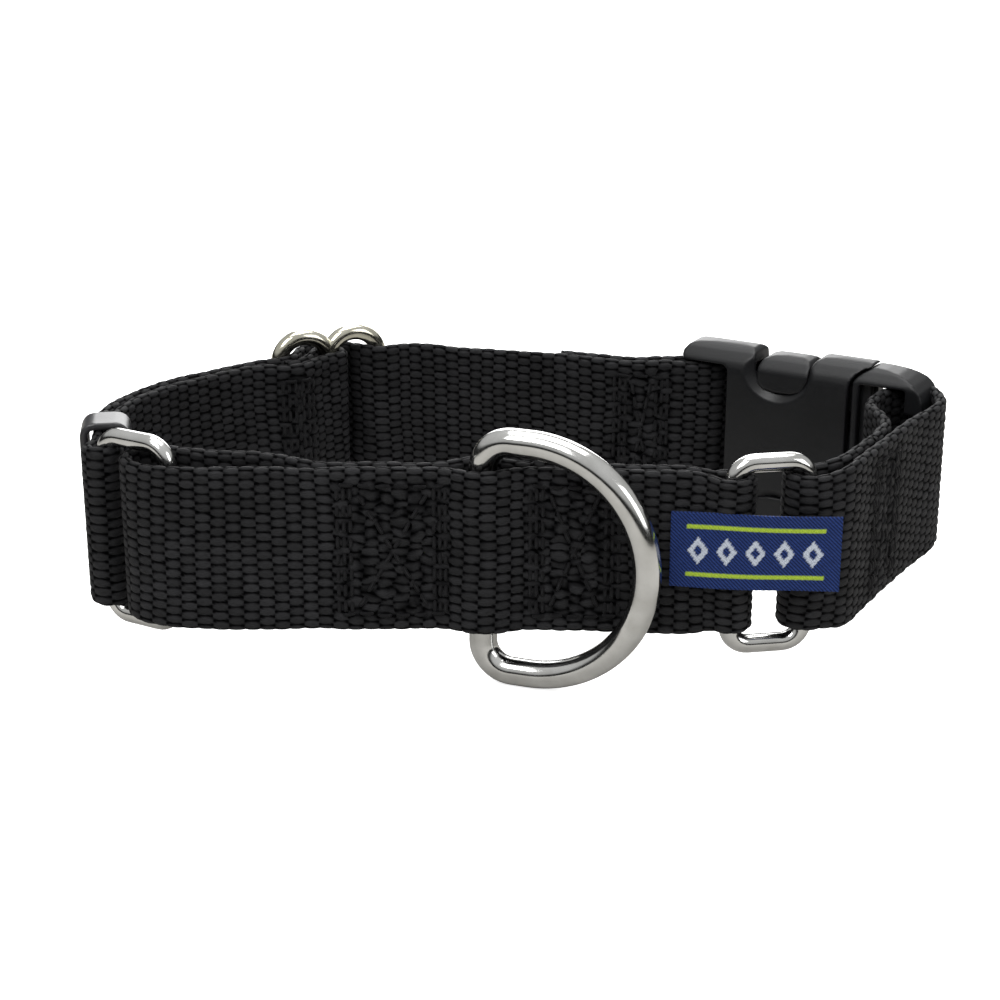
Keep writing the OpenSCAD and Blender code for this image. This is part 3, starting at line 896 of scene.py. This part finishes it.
def moulded(name, obj, at, turn, material, voxel=0.26, passes=4):
    """Rounds every edge as a mould would, then sets the part in place."""
    m = obj.modifiers.new("even", "REMESH")
    m.mode = "VOXEL"
    m.voxel_size = voxel * MM
    m = obj.modifiers.new("round", "SMOOTH")
    m.factor = 0.5
    m.iterations = passes
    applied(obj)
    obj.name = name
    obj.data.polygons.foreach_set("use_smooth", [True] * len(obj.data.polygons))
    obj.data.materials.clear()
    obj.data.materials.append(material)
    turned = Matrix.Rotation(math.radians(turn), 4, "Z")
    obj.data.transform(Matrix.Translation(Vector((at[0], at[1], MID_Z)) * MM) @ turned)
    return obj


def mirrored(points):
    """An outline above z = 0 with its mirror image below."""
    return points + [(x, -z) for x, z in reversed(points)]


SHELL_LEN = 21.5               # from the mouth to the closed end of the socket
BUCKLE_T = 9.0                 # thickness of the buckle
CAVITY_T, CAVITY_H = 5.4, 26.6
WINDOW_X, WINDOW_Z = -12, 14.2   # centre of a side window's bowl
WINDOW_R = 5.0
LUG_Z = 12.9                   # where the lugs that carry the strap bar begin
BAR_R = 1.6                    # radius of the strap bars
OPENING_H = 12.8               # half the height of the opening in the plug's frame
RAIL_GAP = 8.9                 # half the height between the plug's rails
PAD_T = 3.95                   # half the thickness of a thumb pad


def u_outline(grow=0.0):
    """The U of a side window, open at the top and flared, most on the side of the mouth."""
    r = WINDOW_R + grow
    turns = np.linspace(math.pi, 2 * math.pi, 28)
    bowl = [(WINDOW_X + r * math.cos(a), WINDOW_Z + r * math.sin(a)) for a in turns]
    return bowl + [(WINDOW_X + r + 1.1, 21), (WINDOW_X - r - 0.6, 21)]


def window_chamfer(side, s):
    """A wedge that bevels the rim of a side window on one face."""
    n_in, n_out = u_outline(-0.1), u_outline(1.5)
    n_out = [(x - 0.55, z) for x, z in n_out]
    y_in, y_out = side * (BUCKLE_T / 2 - 1.3), side * (BUCKLE_T / 2 + 0.05)
    return between([(x, y_in, s * z) for x, z in n_in], [(x, y_out, s * z) for x, z in n_out])


def socket():
    """A shell with U windows and an overhanging mouth, and two lugs that carry the strap bar."""
    top = mirrored([(0, 12), (0.3, 13.2), (1.0, 14.3), (2.1, 15.1), (3.4, 15.5), (3.2, 15.9), (1.5, 16.1),
                    (-2, 16.1), (-5.2, 15.9), (-6.3, 15.4), (-7, 14.2), (-16.6, 14.2), (-16.9, 15.1),
                    (-17.8, 15.9), (-20, 16.1), (-25, 16.0), (-28.2, 15.8), (-29.4, 15.3), (-30, 14.4),
                    (-30, 13.6), (-29.5, LUG_Z), (-SHELL_LEN - 0.8, LUG_Z), (-SHELL_LEN, LUG_Z - 0.8)])
    body = prism(top, -BUCKLE_T / 2, BUCKLE_T / 2)
    cut(body, "INTERSECT", beam(-40, 5, BUCKLE_T, 32.2, 4.4))
    cut(body, "DIFFERENCE", beam(2 - SHELL_LEN, 4, CAVITY_T, CAVITY_H, 0.8),
        beam(-0.4, 6, CAVITY_T, 29.6, 0.8))
    for s in (-1, 1):
        window = prism([(x, s * z) for x, z in u_outline()], -BUCKLE_T, BUCKLE_T)
        cut(body, "DIFFERENCE", window)
        for side in (-1, 1):
            cut(body, "DIFFERENCE", window_chamfer(side, s))
    cut(body, "UNION", post(-26.5, BAR_R, LUG_Z + 1))
    obj = moulded("buckle_socket_shell", body, MOUTH, BUCKLE_TURN, BUCKLE_PLASTIC)
    return finish_piece(obj, "buckle_plastic", "neck", "buckle_socket")


def plug():
    """The frame outside the mouth, its rails sloping down to the strap bar, with a tongue inside."""
    frame_top = mirrored([(0.6, 12), (0.7, 13.1), (1.3, 14.0), (2.4, 14.8), (3.5, 15.5), (5.5, 15.4),
                          (7.9, 15.0), (9.6, 14.4), (10.9, 13.7), (12.0, 12.5), (12.6, 11.0), (12.8, 9.4),
                          (12.2, 8.8), (9.4, 8.8)])
    body = prism(frame_top, -4, 4)
    cut(body, "INTERSECT", beam(-2, 20, 8.4, 31.6, 3.9))
    cut(body, "DIFFERENCE", beam(3.6, 9.6, 12, 2 * OPENING_H, 0.6),
        beam(9, 40, 12, 2 * RAIL_GAP, 0.4))
    for side in (-1, 1):
        cut(body, "DIFFERENCE", beam(1.8, 9, 4, 2 * OPENING_H, 0.4, y=4.2 * side))
    cut(body, "UNION", post(10.8, BAR_R, 10.5), beam(3, 4.2, 2.6, 27, 0.5))
    cut(body, "UNION", beam(-15, 1, CAVITY_T - 0.8, 8, 1.2), beam(0, 3.4, CAVITY_T - 0.7, 28.8, 0.8))
    obj = moulded("buckle_plug_frame", body, MOUTH, BUCKLE_TURN, BUCKLE_PLASTIC)
    return finish_piece(obj, "buckle_plastic", "plug_body", "buckle_plug")


def latch(name, s, body, node):
    """A springy arm with a smooth, fully rounded thumb pad that fills the side window."""
    arm = beam(-15.5, 0.2, CAVITY_T - 0.6, 4.8, 0.8, z=s * 9.8)
    outline = [(-16.1, 10.4), (-16.3, 13.2), (-15.7, 14.5), (-14.2, 15.1), (-12, 15.3), (-9, 15.3),
               (-7.6, 14.9), (-7.1, 14), (-7.2, 12), (-8.2, 10), (-10, 9.3), (-13, 9.2), (-15.2, 9.6)]
    pad = prism([(x, s * z) for x, z in outline], -PAD_T, PAD_T)
    cut(pad, "INTERSECT", beam(-30, 5, 8.2, 2 * 6.2, 3.9, z=s * 9.2))
    cut(arm, "UNION", pad)
    obj = moulded(name, arm, MOUTH, BUCKLE_TURN, BUCKLE_PLASTIC, voxel=0.24, passes=6)
    return finish_piece(obj, "buckle_plastic", body, node)


def keeper():
    """A moulded band round the neck strap."""
    lo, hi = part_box("strap_keeper")
    half_h = (hi[2] - lo[2]) / MM / 2 - 0.7
    wall, inner, length = 1.16, 5.3, 6.4
    band = beam(-length / 2, length / 2, inner + 2 * wall, 2 * half_h, 2.2)
    cut(band, "DIFFERENCE", beam(-length, length, inner, 2 * (half_h - wall), 1.0))
    obj = moulded("keeper_band", band, KEEPER_AT, KEEPER_TURN, KEEPER_PLASTIC_PAINTED_LIGHT, voxel=0.25)
    return finish_piece(obj, "keeper_plastic", "keeper_body", "strap_keeper")


socket()
plug()
latch("latch_pad_upper", 1, "latch_upper_body", "latch_arm_upper")
latch("latch_pad_lower", -1, "latch_lower_body", "latch_arm_lower")
keeper()


# ---- Label ----

def label():
    """A folded woven label with a plain motif of diamonds between two bars."""
    grain = 0.22
    run = [[20.9, -35.0], [24, -35.5], [29, -36.35], [33.5, -36.95], [39, -37.25], [45.2, -37.5]]
    line = even(curve(run), step=grain, passes=2)
    half_h, thick, rise = 5.7, 0.5, 1.3
    n, m = len(line), 56
    length = (n - 1) * grain
    x = np.linspace(0, length, n)[:, None]
    z = np.linspace(-half_h, half_h, m)[None]
    bars = (np.abs(np.abs(z) - 3.6) < 0.34) & (x > 2.2) & (x < length - 2.2)
    pitch = 4.1
    centre = (x - length / 2 + pitch / 2) % pitch - pitch / 2
    inside = np.abs(x - length / 2) < 2.5 * pitch
    lozenge = np.abs(centre) / 1.5 + np.abs(z) / 2.1
    diamonds = (lozenge < 1) & (lozenge > 0.45) & inside
    ridge = 0.045 * np.sin((x - z) * 2 * np.pi / 0.95)
    raised = 0.10 * (bars | diamonds)
    sag = 0.22 * np.sin(np.pi * x / length * 2) * (z / half_h)
    side = left_of(line)
    out = np.broadcast_to(ridge + raised, (n, m))
    front = np.empty((n, m, 3))
    back = np.empty((n, m, 3))
    for grid, off in ((front, -thick / 2 - out), (back, thick / 2 + 0 * out)):
        grid[:, :, :2] = line[:, None] + side[:, None] * (off + sag)[:, :, None]
        grid[:, :, 2] = MID_Z + rise + z
    verts = np.vstack([front.reshape(-1, 3), back.reshape(-1, 3)])
    i, j = np.meshgrid(np.arange(n - 1), np.arange(m - 1), indexing="ij")
    a = i * m + j
    faces = np.stack([a, a + m, a + m + 1, a + 1], -1).reshape(-1, 4).tolist()
    total = n * m
    faces += [[total + k for k in f][::-1] for f in faces]
    rim = [k * m for k in range(n)] + [(n - 1) * m + k for k in range(1, m)]
    rim += [k * m + m - 1 for k in range(n - 2, -1, -1)] + [k for k in range(m - 2, 0, -1)]
    for k, here in enumerate(rim):
        after = rim[(k + 1) % len(rim)]
        faces.append([after, here, total + here, total + after])
    s = np.broadcast_to(x / 10, (n, m))
    t = np.broadcast_to(z / 10, (n, m))
    uv = np.tile(np.stack([s, t], -1).reshape(-1, 2), (2, 1))
    zeros = np.zeros(total)
    pale = np.concatenate([np.broadcast_to(diamonds, (n, m)).ravel(), zeros])
    lime = np.concatenate([np.broadcast_to(bars, (n, m)).ravel(), zeros])
    obj = make("label_woven", verts, faces, LABEL, attributes={"pale": pale, "lime": lime}, uv=uv)
    finish_piece(obj, "label", None, "woven_label", "label_free_end", "stitch_label")
    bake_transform(obj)


label()


# ---- Stage ----

def floor():
    size = 3.0
    mesh = bpy.data.meshes.new("floor")
    corners = [(-size, -size, 0), (size, -size, 0), (size, size, 0), (-size, size, 0)]
    mesh.from_pydata(corners, [], [(0, 1, 2, 3)])
    mesh.materials.append(floor_material())
    obj = bpy.data.objects.new("floor", mesh)
    bpy.context.scene.collection.objects.link(obj)


def softbox(name, at, target, size, power):
    """A square lamp that faces the target."""
    lamp = bpy.data.lights.new(name, "AREA")
    lamp.shape = "SQUARE"
    lamp.size = size
    lamp.energy = power
    obj = bpy.data.objects.new(name, lamp)
    obj.location = at
    obj.rotation_euler = (Vector(target) - Vector(at)).to_track_quat("-Z", "Y").to_euler()
    bpy.context.scene.collection.objects.link(obj)


def studio():
    """White to the camera. To all else a dimmer room, bright above, with a dark band at eye level."""
    world = bpy.data.worlds.new("studio")
    world.use_nodes = True
    tree = world.node_tree
    tree.nodes.clear()
    add, link = tree.nodes.new, tree.links.new
    coord = add("ShaderNodeTexCoord")
    split = add("ShaderNodeSeparateXYZ")
    link(coord.outputs["Generated"], split.inputs[0])
    ramp = add("ShaderNodeValToRGB")
    stops = ((0.0, 0.4), (0.46, 0.5), (0.51, 0.02), (0.585, 0.06), (0.66, 1.1), (1.0, 1.5))
    while len(ramp.color_ramp.elements) < len(stops):
        ramp.color_ramp.elements.new(0.5)
    for point, (at, grey) in zip(ramp.color_ramp.elements, stops):
        point.position = at
        point.color = (grey, grey, grey * 0.99, 1)
    half = add("ShaderNodeMath")
    half.operation = "MULTIPLY_ADD"
    half.inputs[1].default_value = 0.5
    half.inputs[2].default_value = 0.5
    link(split.outputs["Z"], half.inputs[0])
    link(half.outputs[0], ramp.inputs["Fac"])
    room = add("ShaderNodeBackground")
    room.inputs["Strength"].default_value = 0.42
    link(ramp.outputs["Color"], room.inputs["Color"])
    white = add("ShaderNodeBackground")
    white.inputs["Color"].default_value = (1, 1, 1, 1)
    white.inputs["Strength"].default_value = 1.0
    path = add("ShaderNodeLightPath")
    mix = add("ShaderNodeMixShader")
    link(path.outputs["Is Camera Ray"], mix.inputs[0])
    link(room.outputs[0], mix.inputs[1])
    link(white.outputs[0], mix.inputs[2])
    out = add("ShaderNodeOutputWorld")
    link(mix.outputs[0], out.inputs["Surface"])
    bpy.context.scene.world = world
    middle = (0, 0, MID_Z * MM)
    softbox("key", (-0.35, -0.55, 0.85), middle, 0.5, 4.6)
    softbox("fill", (0.75, -0.45, 0.45), middle, 0.5, 1.6)
    softbox("top", (0.05, 0.15, 0.95), middle, 0.7, 5.5)
    softbox("back", (0.05, 1.1, 0.42), middle, 0.8, 7)


def camera():
    """In front of the leash ring and above it, tilted down to the collar's middle."""
    lens = bpy.data.cameras.new("camera")
    lens.lens = 73.8
    lens.sensor_width = 36
    lens.clip_start = 0.01
    obj = bpy.data.objects.new("camera", lens)
    obj.location = Vector((-3.7, -312, MID_Z + 106.8)) * MM
    obj.rotation_euler = (math.radians(70.5), 0, 0)
    bpy.context.scene.collection.objects.link(obj)
    bpy.context.scene.camera = obj


floor()
studio()
camera()
bpy.context.scene.view_settings.view_transform = "Standard"
